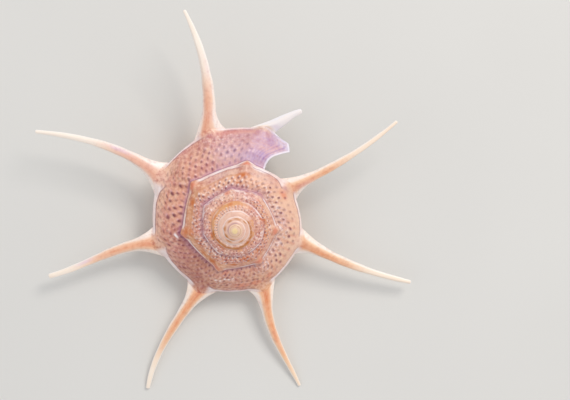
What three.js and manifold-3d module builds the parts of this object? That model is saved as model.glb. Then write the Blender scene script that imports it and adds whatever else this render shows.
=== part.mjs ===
// A long-spined turban shell: one closed solid, spire up, lying on the worn flat of its base.
// Millimetres, +Z up. Growth angles are degrees back from the newest spine towards the apex.
import * as THREE from "three";
import { mergeVertices } from "three/addons/utils/BufferGeometryUtils.js";
import Module from "manifold-3d";

// The spiral
const KEEL_RADIUS = 25.4; // keel at the newest spine, from the coiling axis
const GROWTH_PER_TURN = 1.52;
const EARLY_TURNS_FROM = 3; // turns back from the newest spine beyond which the whorls shrink more slowly
const EARLY_GROWTH_PER_TURN = 1.43;
const SPIRAL_TRIM = [ // growth angles, and the share of the even spiral that the keel keeps there
  [425, 1], [479, 0.962], [540, 0.952], [593, 0.945], [643, 0.94], [700, 0.955], [745, 0.967], [795, 0.975],
  [840, 0.89], [900, 0.905], [1000, 0.97], [1100, 1.02], [1190, 0.94], [1300, 0.96], [1500, 1],
];
const SPIRE_HEIGHT = 16.5; // apex above the newest spine
const NEWEST_SPINE_DEG = 71; // its direction in plan, counter-clockwise from +X
const TURN = 360;
const TURNS = 7;
const TILT_X_DEG = 12; // how the shell leans as it lies
const TILT_Y_DEG = 2.2;

// The corners of the keel: long spines on the last whorl, then the stumps that the last whorl overgrew.
// foot is how many degrees of keel a spine takes before and after it, lean turns it away from the radius,
// bow bends it sideways at a third and two thirds, width is at the foot, middle and tip.
const SPINES = [
  {
    at: 0, foot: [9, 10], length: 9.6, lean: -47, rise: 0,
    bow: [-0.9, 0.4], width: [3.2, 2.4, 1.4],
  },
  {
    at: 35.6, foot: [11, 11], length: 31.3, lean: -5.9, rise: 0,
    bow: [-3.5, -2.9], width: [3.7, 2.5, 0.9],
  },
  {
    at: 77.4, foot: [10, 14], length: 33.2, lean: 12.8, rise: -1,
    bow: [-3.6, -2.6], width: [3.3, 2, 1],
  },
  {
    at: 124.7, foot: [11, 13], length: 28.8, lean: 3.2, rise: -1,
    bow: [-2.6, 0.8], width: [3.6, 2.2, 1.4],
  },
  {
    at: 172, foot: [11, 14], length: 30, lean: 0.2, rise: 0.2,
    bow: [-1.2, -3.1], width: [3.5, 2.1, 1.2],
  },
  {
    at: 224, foot: [15, 10], length: 28, lean: -6.7, rise: 0.7,
    bow: [-4.2, -1.1], width: [3.5, 2.1, 0.8],
  },
  {
    at: 272.8, foot: [13, 11], length: 30.4, lean: -5.7, rise: -1,
    bow: [-2.1, -1.5], width: [3.3, 2.1, 1.1],
  },
  {
    at: 322.3, foot: [13, 11], length: 31.5, lean: -1.6, rise: -1,
    bow: [-1.8, -1.8], width: [2.9, 1.8, 0.9],
  },
];
const STUMPS = [368, 425, 479, 540, 593, 643, 700, 745, 795, 840];
const OLDER_STUMP_STEP = 46;
const STUMP_WIDTH_DEG = 10;
const STUMP_RISE = 0.018; // as shares of the keel radius there
const STUMP_REACH = 0.03;
const STUMPS_END = [650, 700]; // growth angles over which the stumps die away
const NEXT_CORNER = -44; // where the keel was heading past the aperture
const COVERED_FROM = [330, 370]; // growth angles over which the keel passes under the last whorl
const ROUNDER_FROM = [830, 1000]; // and over which the older keel loses its corners
const OPEN_FLATNESS = 0.4; // how straight the keel runs between corners, from an arc at 0 to a chord at 1
const COVERED_FLATNESS = 0.75;
const OLD_FLATNESS = 0.25;
const APEX_ROUND = 0.9; // how far the tip of the spire is rounded down, and within what radius
const APEX_REACH = 2.5;

// Cross-section of a whorl, as shares of the keel radius there
const BULGE = 0.036;
const BULGE_INSIDE = 0.6; // how full the bulge is at the suture, and how much fuller at the keel
const BULGE_GAIN = 0.7;
const SUTURE_STEP = 0.022;
const SUTURE_AT = 0.05;
const SUTURE_REACH = 0.22;
const CREASE = 0.012;
const CREASE_AT = 0.92;
const CREASE_HALF = 0.06;
const BASE_DEPTH = 0.31;
const BASE_FLAT = 0.4; // inside this share of the radius the base is level
const BASE_POWER = 1.7;
const CALLUS_RADIUS = 4.5;
const CALLUS_DEPTH = 6.3;
const CALLUS_BLEND = 0.35;

// Beads in rows beside the suture
const BEADS_PER_TURN = 48;
const BEAD_RISE = 0.014;
const BEAD_ROWS = [
  { across: 0.14, share: 1 },
  { across: 0.38, share: 1 },
  { across: 0.63, share: 0.55 },
];
const BEAD_LENGTH = 0.42;
const BEAD_WIDTH = 0.1;
const BEADS_FROM = [5, 50]; // growth angles over which they rise behind the lip

// Feet of the spines
const FOOT_FLARE = 0.8;
const FOOT_SWELL = 1.2;
const FOOT_DROP = 1.1;
const FOOT_FROM = 0.6; // share of the whorl's width where the swelling above a foot begins
const FOOT_UNDER = 0.25; // share of the base that the swelling below it takes
const FILLET = 1.9;
const SPINE_FLATNESS = 0.8;
const TIP_ROUND = 0.35;
const TIP_SHRINK = 0.75;

// Aperture
const LIP = -10; // growth angle at the suture end of the lip
const LIP_LINE = [ // places across the whorl, from suture to keel, and how far the lip stands back there
  [0, 0], [0.14, 1], [0.26, 0.7], [0.38, -1], [0.5, -4.2], [0.72, -9.6], [0.92, -6.2], [0.96, 1.5], [1, 4],
];
const LIP_AT_KEEL = LIP_LINE.at(-1)[1];
const BASE_LIP_BACK = 11;
const LIP_FADE = 45; // degrees over which the columns straighten behind the lip
const THROAT = [
  { back: 0.5, wall: 0.45, glaze: 0.15 },
  { back: 4, wall: 0.8, glaze: 0.25 },
  { back: 12, wall: 1.1, glaze: 0.4 },
  { back: 28, wall: 1.3, glaze: 0.5 },
  { back: 50, wall: 1.6, glaze: 0.7 },
  { back: 75, wall: 1.9, glaze: 0.9 },
  { back: 100, wall: 2.4, glaze: 1.2 },
];

const REST_CUT = 0.3; // depth of the worn flat that it lies on
const WELD = 1e-5;

// Mesh rows: across each whorl from the suture out, newest whorl first, and in over the base
const COLUMNS = 2 * BEADS_PER_TURN;
const COLUMN_STEP = TURN / COLUMNS;
const WHORL_ROWS = [
  [0, 0.05, 0.14, 0.26, 0.38, 0.5, 0.63, 0.72, 0.82, 0.92, 0.96, 1],
  [0, 0.05, 0.14, 0.26, 0.38, 0.58, 0.78, 0.92, 1],
  [0, 0.05, 0.14, 0.38, 0.7, 1],
  [0, 0.14, 0.5, 1],
  [0, 0.5, 1],
  [0, 1],
  [0, 1],
];
const BASE_ROWS = [0, 0.1, 0.26, 0.45, 0.65, 0.85, 1];
const SPINE_STATIONS = [0, 0.03, 0.07, 0.14, 0.27, 0.45, 0.65, 0.85, 1];

const wasm = await Module();
wasm.setup();

const UP = new THREE.Vector3(0, 0, 1);
const smooth = THREE.MathUtils.smoothstep;
const mix = THREE.MathUtils.lerp;
const dome = (x) => Math.max(0, 1 - x * x) ** 2;
const ease = (x, from, to) => Math.max(0, (x - from) / (to - from)) ** 2;

// A value between the pairs of a table, which are in order
function lookUp(table, x) {
  const next = table.findIndex(([at]) => at >= x);
  if (next < 1) return table.at(next)[1];
  const [[from, low], [to, high]] = table.slice(next - 1, next + 1);
  return mix(low, high, (x - from) / (to - from));
}

// Every corner angle in order, with the stumps of the older whorls carried on to the apex
function keelCorners() {
  const angles = [NEXT_CORNER, ...SPINES.map((spine) => spine.at), ...STUMPS];
  while (angles.at(-1) < (TURNS + 2) * TURN) angles.push(angles.at(-1) + OLDER_STUMP_STEP);
  return angles;
}
const CORNERS = keelCorners();

function radius(growth) {
  const turns = growth / TURN;
  const early = Math.max(0, turns - EARLY_TURNS_FROM);
  const even = KEEL_RADIUS * GROWTH_PER_TURN ** (early - turns) * EARLY_GROWTH_PER_TURN ** -early;
  return even * lookUp(SPIRAL_TRIM, growth);
}
const covered = (growth) => smooth(growth, ...COVERED_FROM);
const rounder = (growth) => smooth(growth, ...ROUNDER_FROM);

function polar(growth, r, z) {
  const angle = THREE.MathUtils.degToRad(NEWEST_SPINE_DEG + growth);
  return new THREE.Vector3(r * Math.cos(angle), r * Math.sin(angle), z);
}

const spireHeight = (size) =>
  SPIRE_HEIGHT * (1 - size / KEEL_RADIUS) - APEX_ROUND * Math.exp(-size / APEX_REACH);

// The keel in the half-plane of the axis: a spiral flattened towards chords between corners, with stumps
function keel(growth) {
  const next = Math.max(1, CORNERS.findIndex((corner) => corner > growth));
  const [from, to] = [CORNERS[next - 1], CORNERS[next]];
  const half = THREE.MathUtils.degToRad((to - from) / 2);
  const off = THREE.MathUtils.degToRad(growth - (from + to) / 2);
  const chord = Math.cos(half) / Math.cos(off);
  const open = mix(OPEN_FLATNESS, COVERED_FLATNESS, covered(growth));
  const flatness = mix(open, OLD_FLATNESS, rounder(growth));
  const near = Math.min(growth - from, to - growth);
  const stump = dome(near / STUMP_WIDTH_DEG) * covered(growth) * (1 - smooth(growth, ...STUMPS_END));
  const size = radius(growth);
  const r = size * (1 - flatness * (1 - chord) + STUMP_REACH * stump);
  const z = spireHeight(size) + STUMP_RISE * size * stump;
  return { r, z };
}

// Height of the whorl over the straight line from suture to keel
function profile(across) {
  const arch = 4 * across * (1 - across) * (BULGE_INSIDE + BULGE_GAIN * across);
  const groove = across < SUTURE_AT ? across / SUTURE_AT : dome((across - SUTURE_AT) / SUTURE_REACH);
  const crease = dome((across - CREASE_AT) / CREASE_HALF);
  return BULGE * arch - SUTURE_STEP * groove - CREASE * crease;
}

function beads(growth, across) {
  let rise = 0;
  BEAD_ROWS.forEach((row, index) => {
    const count = ((growth - LIP) * BEADS_PER_TURN) / TURN + index / 2;
    const along = (count - Math.round(count)) / BEAD_LENGTH;
    const aside = (across - row.across) / BEAD_WIDTH;
    rise = Math.max(rise, row.share * Math.max(0, 1 - along * along - aside * aside));
  });
  return BEAD_RISE * rise * smooth(growth, ...BEADS_FROM);
}

// The spine feet as openings in the keel, each between two columns
const keelAngle = (column) => columnAngle(column, LIP_AT_KEEL);

function columnAngle(column, lipShift) {
  const back = column * COLUMN_STEP;
  return LIP + back + lipShift * (1 - smooth(back, 0, LIP_FADE));
}

function nearestColumn(growth) {
  let best = 0;
  for (let column = 0; column <= COLUMNS; column++)
    if (Math.abs(keelAngle(column) - growth) < Math.abs(keelAngle(best) - growth)) best = column;
  return best;
}

const FEET = SPINES.map((spine) => {
  const first = nearestColumn(spine.at - spine.foot[0]);
  const last = nearestColumn(spine.at + spine.foot[1]);
  const middle = (keelAngle(first) + keelAngle(last)) / 2;
  return { spine, first, last, middle, half: keelAngle(last) - middle };
});

const footShare = (growth) =>
  Math.max(...FEET.map((foot) => dome((growth - foot.middle) / foot.half)));

const lipShiftAbove = (across) => lookUp(LIP_LINE, across);
const lipShiftBelow = (inward) => LIP_AT_KEEL * (1 - inward) + BASE_LIP_BACK * 4 * inward * (1 - inward);

function topPoint(growth, across, beaded) {
  const inner = keel(growth + TURN);
  const outer = keel(growth);
  const run = outer.r - inner.r;
  const fall = inner.z - outer.z;
  const slope = Math.hypot(run, fall);
  const relief = profile(across) + (beaded ? beads(growth, across) : 0);
  const lift = radius(growth) * relief;
  const foot = footShare(growth) * ease(across, FOOT_FROM, 1);
  const r = inner.r + run * across + (fall / slope) * lift + FOOT_FLARE * foot;
  const z = outer.z + fall * (1 - across) + (run / slope) * lift + FOOT_SWELL * foot;
  return polar(growth, r, z);
}

function basePoint(growth, inward) {
  const edge = keel(growth);
  const foot = footShare(growth) * ease(inward, FOOT_UNDER, 0);
  const r = mix(edge.r, CALLUS_RADIUS, inward);
  const past = Math.max(0, r / edge.r - BASE_FLAT) / (1 - BASE_FLAT);
  const ramp = edge.z - BASE_DEPTH * radius(growth) * (1 - past ** BASE_POWER);
  const point = polar(growth, r + FOOT_FLARE * foot, 0);
  const level = -CALLUS_DEPTH - point.y * Math.tan(THREE.MathUtils.degToRad(TILT_X_DEG));
  const clear = smooth(r - CALLUS_RADIUS, 0, CALLUS_BLEND * radius(growth));
  return point.setZ(mix(level, ramp, clear) - FOOT_DROP * foot);
}

// Gathers points and triangles, every triangle facing out
class Skin {
  points = [];
  triangles = [];

  add(point) {
    return this.points.push(point) - 1;
  }

  // The faces between two neighbouring lines of points, which may differ in count
  zip(lineA, lineB) {
    let a = 0;
    let b = 0;
    while (a < lineA.length - 1 || b < lineB.length - 1) {
      const shareA = (a + 1) / (lineA.length - 1);
      const shareB = (b + 1) / (lineB.length - 1);
      if (b === lineB.length - 1 || (a < lineA.length - 1 && shareA <= shareB)) {
        this.triangle(lineA[a], lineA[a + 1], lineB[b]);
        a++;
      } else {
        this.triangle(lineA[a], lineB[b + 1], lineB[b]);
        b++;
      }
    }
  }

  triangle(a, b, c) {
    if (a !== b && b !== c && c !== a) this.triangles.push(a, b, c);
  }

  fan(line, point) {
    const centre = this.add(point);
    for (let i = 0; i + 1 < line.length; i++) this.triangle(line[i], centre, line[i + 1]);
  }

  middle(line) {
    const sum = new THREE.Vector3();
    line.forEach((index) => sum.add(this.points[index]));
    return sum.divideScalar(line.length);
  }

  geometry() {
    const made = new THREE.BufferGeometry().setFromPoints(this.points);
    made.setIndex(this.triangles);
    return made;
  }
}

// The spire: one ribbon wound from the lip to the apex, whose inner edge is the keel one turn older
function addSpire(skin, keelAbove) {
  const columns = [];
  for (let column = 0; column <= TURNS * COLUMNS; column++) {
    const rows = WHORL_ROWS[Math.min(Math.floor(column / COLUMNS), TURNS - 1)];
    const inside = rows.slice(1, -1).map((across) => {
      const growth = columnAngle(column, lipShiftAbove(across));
      return skin.add(topPoint(growth, across, true));
    });
    columns.push([keelAbove[column + COLUMNS], ...inside, keelAbove[column]]);
    if (column > 0) skin.zip(columns[column - 1], columns[column]);
  }
  const rim = keelAbove.slice(TURNS * COLUMNS);
  const loop = [...rim, ...columns.at(-1).slice(1)];
  const apex = new THREE.Vector3(0, 0, spireHeight(0));
  skin.fan(loop.reverse(), apex);
  return columns[0];
}

function addBase(skin, keelBelow) {
  const columns = [];
  for (let column = 0; column <= COLUMNS; column++) {
    const line = BASE_ROWS.slice(1).map((inward) => {
      const growth = columnAngle(column, lipShiftBelow(inward));
      return skin.add(basePoint(growth, inward));
    });
    if (column === COLUMNS) line[line.length - 1] = columns[0].at(-1);
    columns.push([keelBelow[column], ...line]);
    if (column > 0) skin.zip(columns[column - 1], columns[column]);
  }
  skin.fan(columns.map((line) => line.at(-1)), new THREE.Vector3(0, 0, -CALLUS_DEPTH));
  return [columns[0], columns.at(-1)];
}

// A spine grows out of its foot, from the lens-shaped opening in the keel to a blunt tip
function addSpine(skin, foot, keelAbove, keelBelow) {
  const { spine, first, last } = foot;
  const root = keel(spine.at);
  const start = polar(spine.at, root.r + FOOT_FLARE, root.z + (FOOT_SWELL - FOOT_DROP) / 2);
  const heading = THREE.MathUtils.degToRad(NEWEST_SPINE_DEG + spine.at + spine.lean);
  const chord = new THREE.Vector3(Math.cos(heading), Math.sin(heading), 0).multiplyScalar(spine.length);
  chord.z = spine.rise;
  const aside = UP.clone().cross(chord).normalize();
  const control = (share, bow) => start.clone().addScaledVector(chord, share).addScaledVector(aside, bow);
  const path = new THREE.CubicBezierCurve3(
    start,
    control(1 / 3, spine.bow[0]),
    control(2 / 3, spine.bow[1]),
    control(1, 0),
  );
  const ring = [];
  for (let column = first; column <= last; column++) ring.push(keelAbove[column]);
  for (let column = last - 1; column > first; column--) ring.push(keelBelow[column]);
  const [foot0, middle, tip] = spine.width;
  const section = (share, index) => {
    const width = foot0 * (1 - share) * (1 - 2 * share) + 4 * middle * share * (1 - share)
      + tip * share * (2 * share - 1);
    const half = (width / 2) * (share === 1 ? TIP_SHRINK : 1);
    const turn = Math.PI * (1 - (2 * index) / ring.length);
    const along = path.getTangent(share);
    const side = UP.clone().cross(along).normalize();
    const over = along.clone().cross(side);
    return path.getPoint(share)
      .addScaledVector(side, half * Math.cos(turn))
      .addScaledVector(over, half * SPINE_FLATNESS * Math.sin(turn));
  };
  const spread = ring.map((vertex, index) => skin.points[vertex].clone().sub(section(0, index)));
  let previous = [...ring, ring[0]];
  for (const share of SPINE_STATIONS.slice(1)) {
    const blend = Math.exp((-share * spine.length) / FILLET);
    const line = ring.map((_, index) =>
      skin.add(section(share, index).addScaledVector(spread[index], blend)));
    line.push(line[0]);
    skin.zip(line, previous);
    previous = line;
  }
  skin.fan(previous, path.getPoint(1).addScaledVector(path.getTangent(1), TIP_ROUND));
}

// The hollow of the last whorl, opening at the lip: walls follow the outside, the roof the older base
function addThroat(skin, lipColumn, [basalLip, parietal]) {
  const loop = [...lipColumn, ...basalLip.slice(1), ...parietal.slice(0, -1).reverse()];
  let previous = loop;
  for (const { back, wall, glaze } of THROAT) {
    const column = back / COLUMN_STEP;
    const outside = [
      ...WHORL_ROWS[0].map((across) => topPoint(columnAngle(column, lipShiftAbove(across)), across, false)),
      ...BASE_ROWS.slice(1).map((inward) => basePoint(columnAngle(column, lipShiftBelow(inward)), inward)),
    ];
    const roof = BASE_ROWS.slice(0, -1).map((inward) => basePoint(LIP + TURN + back, inward)).reverse();
    const section = [...outside, ...roof];
    const centre = section.reduce((sum, p) => sum.add(p), new THREE.Vector3()).divideScalar(section.length);
    const line = section.slice(0, -1).map((point, index) => {
      const inset = index < outside.length ? wall : glaze;
      const inward = centre.clone().sub(point);
      return skin.add(point.clone().addScaledVector(inward.normalize(), inset));
    });
    line.push(line[0]);
    skin.zip(line, previous);
    previous = line;
  }
  skin.fan(previous, skin.middle(previous));
}

function shellGeometry() {
  const skin = new Skin();
  const keelAbove = [];
  for (let column = 0; column <= (TURNS + 1) * COLUMNS; column++) {
    const growth = keelAngle(column);
    keelAbove.push(skin.add(topPoint(growth, 1, false)));
  }
  const keelBelow = keelAbove.slice(0, COLUMNS + 1);
  for (const { first, last } of FEET)
    for (let column = first + 1; column < last; column++)
      keelBelow[column] = skin.add(basePoint(keelAngle(column), 0));
  const lipColumn = addSpire(skin, keelAbove);
  const baseLips = addBase(skin, keelBelow);
  FEET.forEach((foot) => addSpine(skin, foot, keelAbove, keelBelow));
  addThroat(skin, lipColumn, baseLips);
  return skin.geometry();
}

function toSolid(geometry) {
  geometry.deleteAttribute("normal");
  geometry.deleteAttribute("uv");
  const merged = mergeVertices(geometry, WELD);
  return new wasm.Manifold(new wasm.Mesh({
    numProp: 3,
    vertProperties: merged.attributes.position.array,
    triVerts: new Uint32Array(merged.index.array),
  }));
}

function toGeometry(solid) {
  const mesh = solid.getMesh();
  const geometry = new THREE.BufferGeometry();
  geometry.setAttribute("position", new THREE.BufferAttribute(mesh.vertProperties, 3));
  geometry.setIndex(new THREE.BufferAttribute(mesh.triVerts, 1));
  return geometry;
}

// Leans the shell as it lies, wears its lowest points flat and puts that flat at z = 0
function restingShell() {
  const tilt = new THREE.Matrix4().makeRotationX(THREE.MathUtils.degToRad(TILT_X_DEG));
  tilt.premultiply(new THREE.Matrix4().makeRotationY(THREE.MathUtils.degToRad(TILT_Y_DEG)));
  const leaning = shellGeometry().applyMatrix4(tilt);
  leaning.computeBoundingBox();
  const box = leaning.boundingBox;
  const size = box.getSize(new THREE.Vector3()).multiplyScalar(2);
  const centre = box.getCenter(new THREE.Vector3());
  const ground = new THREE.BoxGeometry(size.x, size.y, size.z);
  ground.translate(centre.x, centre.y, box.min.z + REST_CUT - size.z / 2);
  const worn = toGeometry(toSolid(leaning).subtract(toSolid(ground)));
  return worn.translate(-centre.x, -centre.y, -box.min.z - REST_CUT);
}

const pearlyHorn = new THREE.MeshStandardMaterial({ color: 0xd9ab98, roughness: 0.42, metalness: 0 });
const shell = new THREE.Mesh(restingShell(), pearlyHorn);
shell.name = "shell";

const turbanShell = new THREE.Group();
turbanShell.add(shell);

export default turbanShell;
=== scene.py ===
import math

import bpy
import numpy as np
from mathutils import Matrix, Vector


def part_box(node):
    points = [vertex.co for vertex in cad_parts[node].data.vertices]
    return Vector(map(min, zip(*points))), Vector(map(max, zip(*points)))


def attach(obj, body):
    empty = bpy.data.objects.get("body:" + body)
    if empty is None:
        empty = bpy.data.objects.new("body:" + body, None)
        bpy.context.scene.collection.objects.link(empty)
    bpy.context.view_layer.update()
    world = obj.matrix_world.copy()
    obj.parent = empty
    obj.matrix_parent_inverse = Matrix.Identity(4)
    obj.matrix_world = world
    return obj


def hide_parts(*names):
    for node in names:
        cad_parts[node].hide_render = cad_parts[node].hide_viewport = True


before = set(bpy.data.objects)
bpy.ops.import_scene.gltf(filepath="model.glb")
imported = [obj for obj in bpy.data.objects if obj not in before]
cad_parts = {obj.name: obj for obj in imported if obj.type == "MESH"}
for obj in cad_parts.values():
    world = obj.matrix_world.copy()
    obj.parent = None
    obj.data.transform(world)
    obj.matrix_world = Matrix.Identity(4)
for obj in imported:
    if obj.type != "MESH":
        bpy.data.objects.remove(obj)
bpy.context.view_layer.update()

MM = 0.001
TURN = 360.0

# The spiral, in millimetres; growth angles are degrees back from the newest spine towards the apex
KEEL_RADIUS = 25.4
GROWTH_PER_TURN = 1.52
EARLY_TURNS_FROM = 3.0
EARLY_GROWTH_PER_TURN = 1.43
# Small corrections of the spiral, by growth angle
SPIRAL_TRIM_AT = (425, 479, 540, 593, 643, 700, 745, 795, 840, 900, 1000, 1100, 1190, 1300, 1500)
SPIRAL_TRIM = (1, 0.962, 0.952, 0.945, 0.94, 0.955, 0.967, 0.975, 0.89, 0.905, 0.97, 1.02, 0.94, 0.96, 1)
SPIRE_HEIGHT = 16.5
NEWEST_SPINE_DEG = 71.0
TURNS = 10
TILT_X_DEG = 12.0
TILT_Y_DEG = 2.2

# Corners of the keel: foot is degrees of keel before and after a spine, lean turns it from the radius,
# bow bends it sideways at a third and two thirds, width is at the foot, middle and tip
SPINES = [
    dict(at=0.0, foot=(9, 10), length=9.6, lean=-47, rise=0, bow=(-0.9, 0.4), width=(3.2, 2.4, 1.4)),
    dict(at=35.6, foot=(11, 11), length=31.3, lean=-5.9, rise=0, bow=(-3.5, -2.9), width=(3.7, 2.5, 0.9)),
    dict(at=77.4, foot=(10, 14), length=33.2, lean=12.8, rise=-1, bow=(-3.6, -2.6), width=(3.3, 2, 1)),
    dict(at=124.7, foot=(11, 13), length=28.8, lean=3.2, rise=-1, bow=(-2.6, 0.8), width=(3.6, 2.2, 1.4)),
    dict(at=172, foot=(11, 14), length=30, lean=0.2, rise=0.2, bow=(-1.2, -3.1), width=(3.5, 2.1, 1.2)),
    dict(at=224, foot=(15, 10), length=28, lean=-6.7, rise=0.7, bow=(-4.2, -1.1), width=(3.5, 2.1, 0.8)),
    dict(at=272.8, foot=(13, 11), length=30.4, lean=-5.7, rise=-1, bow=(-2.1, -1.5), width=(3.3, 2.1, 1.1)),
    dict(at=322.3, foot=(13, 11), length=31.5, lean=-1.6, rise=-1, bow=(-1.8, -1.8), width=(2.9, 1.8, 0.9)),
]
STUMPS = [368, 425, 479, 540, 593, 643, 700, 745, 795, 840]
OLDER_STUMP_STEP = 46.0
STUMP_WIDTH_DEG = 10.0
STUMP_RISE = 0.018
STUMP_REACH = 0.03
STUMPS_END = (650, 700)
NEXT_CORNER = -44.0
COVERED_FROM = (330, 370)
ROUNDER_FROM = (830, 1000)
OPEN_FLATNESS = 0.4
COVERED_FLATNESS = 0.75
OLD_FLATNESS = 0.25
APEX_ROUND = 0.9
APEX_REACH = 2.5

# Cross-section of a whorl, as shares of the keel radius there
BULGE = 0.036
SUTURE_STEP = 0.022
SUTURE_AT = 0.05
SUTURE_REACH = 0.22
CREASE = 0.010
CREASE_WIDTH = 0.032
SEAM_AT = (0.945, 0.945, 0.885, 0.88, 0.925, 0.89, 0.92, 0.89, 0.88)
SEAM_HOOK = (0.0, 0.05, 0.18, 0.18, 0.22, 0.06, 0.1, 0.16, 0.06)
SEAM_TONE = (0.1, 0.6, 0.85, 0.5, 0.6, 0.4, 0.8, 0.9, 0.7)
SEAM_START = 5.0
SEAM_RUN = 6.0
SEAM_WOBBLE = 0.004
BASE_DEPTH = 0.31
BASE_FLAT = 0.4
BASE_POWER = 1.7
CALLUS_RADIUS = 4.5
CALLUS_DEPTH = 6.3
CALLUS_BLEND = 0.35

# Rows of beads, in bands along the spiral: the growth angles over which a band fades in and out, where its
# rows lie across the whorl, how strong each is, the size and spacing of its beads and how far they slant
BEADS_PER_TURN = 48
CROWDED_BELOW = 100.0
CROWDING = 0.3
BEAD_RISE = 0.011
BEAD_LENGTH = 0.29
BEAD_WIDTH = 0.068
BEAD_SIZE_VARIES = 0.2
BEAD_SHIFT = 0.1
BEAD_ASIDE = 0.014
ROW_OFFSET = 4.0
BEAD_BANDS = [
    dict(ages=(0, 18, 58, 78), across=(0.13, 0.25, 0.37, 0.49, 0.61, 0.73),
         share=(0.9, 0.8, 0.9, 0.8, 0.6, 0.35), size=0.85, spacing=1.0, slant=0.3),
    dict(ages=(58, 78, 106, 118), across=(0.14, 0.29, 0.44), share=(1.0, 1.1, 1.0),
         size=1.0, spacing=1.15, slant=0.1),
    dict(ages=(58, 78, 150, 180), across=(0.57, 0.68, 0.78), share=(0.6, 0.5, 0.35),
         size=0.7, spacing=0.85, slant=0.8),
    dict(ages=(106, 118, 225, 245), across=(0.10, 0.21, 0.32, 0.43), share=(0.6, 0.6, 0.5, 0.45),
         size=0.7, spacing=0.75, slant=0.3),
    dict(ages=(150, 180, 225, 245), across=(0.54, 0.65, 0.77), share=(0.45, 0.4, 0.3),
         size=0.72, spacing=0.72, slant=0.5),
    dict(ages=(225, 245, 325, 370), across=(0.16, 0.30, 0.45, 0.62), share=(0.6, 1.0, 0.85, 0.5),
         size=0.95, spacing=1.0, slant=0.2),
    dict(ages=(325, 370, 690, 740), across=(0.13, 0.28, 0.42), share=(0.9, 0.95, 0.75),
         size=1.0, spacing=1.0, slant=0.2),
    dict(ages=(690, 740, 1040, 1090), across=(0.22, 0.46, 0.7), share=(0.7, 0.6, 0.3),
         size=1.1, spacing=1.1, slant=0.2),
    dict(ages=(1040, 1090, 1190, 1225), across=(0.18, 0.42), share=(1.0, 1.0), size=1.5,
         spacing=1.15, slant=0.0),
]

# Growth angles over which each whorl's colours give way to those of the next
WHORL_ENDS = ((325, 375), (690, 735), (1040, 1090), (1390, 1440))

# Single dabs of colour: growth angle, place across the whorl, half length in degrees, half width
PATCHES = [
    (370, 0.5, 7.5, 0.09), (374, 0.21, 4, 0.05), (440, 0.62, 4.5, 0.12),
    (478, 0.5, 5, 0.13), (494, 0.46, 6, 0.07), (512, 0.66, 8, 0.07), (526, 0.68, 6, 0.12),
    (578, 0.2, 10, 0.09), (604, 0.22, 5, 0.1), (635, 0.17, 5.5, 0.12), (662, 0.12, 6, 0.09),
    (1029, 0.85, 7, 0.16), (1202, 0.75, 7, 0.14), (1224, 0.62, 9, 0.12), (1252, 0.72, 10, 0.14),
    (1288, 0.72, 9, 0.14), (1324, 0.62, 8, 0.16), (607, 0.42, 5, 0.09), (580, 0.46, 6, 0.07),
    (557, 0.56, 6, 0.07), (476, 0.72, 5, 0.1), (848, 0.12, 8, 0.1), (882, 0.14, 10, 0.1),
]
KNOBS = [
    (368, 0.9, 4, 0.05), (427, 0.86, 4.5, 0.11), (481, 0.86, 5, 0.11), (536, 0.84, 7, 0.11),
    (593, 0.76, 6, 0.14), (641, 0.73, 6, 0.16), (698, 0.5, 3.5, 0.09), (752, 0.7, 5, 0.15),
    (321, 0.62, 6, 0.1), (206, 0.68, 8, 0.09), (218, 0.66, 5, 0.08), (189, 0.13, 4, 0.05),
    (232, 0.6, 4, 0.1),
]
TONGUES = [
    (1205, 0.72, 12, 0.24), (1225, 0.6, 13, 0.2), (1245, 0.56, 14, 0.2), (1262, 0.6, 12, 0.2),
    (1281, 0.76, 14, 0.22), (1301, 0.56, 14, 0.24), (1319, 0.46, 14, 0.22), (1340, 0.38, 12, 0.18),
    (1358, 0.27, 14, 0.2), (1376, 0.18, 12, 0.18), (1397, 0.16, 11, 0.16), (1770, 0.62, 12, 0.16),
    (1807, 0.56, 20, 0.26), (1849, 0.36, 16, 0.24), (1899, 0.42, 17, 0.32), (1943, 0.54, 20, 0.34),
    (1984, 0.6, 22, 0.28), (1612, 0.3, 16, 0.16), (1668, 0.45, 14, 0.14),
]
# Painted highlights: white glints on the last whorl; the three dabs from 355 on are white rim colour around
# the corner at 368
GLINTS = [
    (121, 0.19, 3, 0.03), (181, 0.37, 1.4, 0.03), (185, 0.41, 1.2, 0.025), (189, 0.36, 1.2, 0.025),
    (193, 0.39, 1.4, 0.025), (197, 0.37, 1.2, 0.025), (286, 0.1, 2, 0.03), (355, 0.9, 8, 0.09),
    (363, 0.985, 3.5, 0.03), (374, 0.985, 4, 0.03),
]

# Colour of each spine, newest first: how orange and pink it is, which side the orange lies on, how white
# it gets and from where along it, and how strong a lilac dab it has and where
SPINE_ORANGE = (0.2, 0.8, 0.55, 0.85, 1.0, 1.0, 0.95, 0.85)
SPINE_PINK = (0.3, 0.75, 0.8, 0.4, 0.1, 0.0, 0.1, 0.2)
SPINE_SIDE = (-0.2, 0.3, 0.1, -0.1, 0.0, 0.15, -0.25, -0.25)
SPINE_PALE = (1.0, 1.0, 1.0, 0.9, 0.9, 0.5, 0.75, 0.65)
SPINE_PALE_FROM = (0.05, 0.45, 0.48, 0.68, 0.7, 0.85, 0.55, 0.5)
SPINE_LILAC = (0.6, 0.3, 0.9, 0.8, 0.0, 0.0, 0.0, 0.3)
SPINE_LILAC_AT = (0.2, 0.5, 0.34, 0.64, 0.5, 0.5, 0.5, 0.08)

# Feet of the spines, and the knots and ribs along them
FOOT_FLARE = 0.8
FOOT_SWELL = 1.2
FOOT_DROP = 1.1
FOOT_FROM = 0.6
FOOT_UNDER = 0.25
FILLET = 1.9
SPINE_FLATNESS = 0.8
TIP_ROUND = 0.35
KNOT_DEPTHS = (0.035, 0.025)
KNOT_LENGTHS = (1.9, 0.83)
RIBS = 5.0
RIB_DEPTH = 0.03
RIB_TWIST = 0.12

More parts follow.
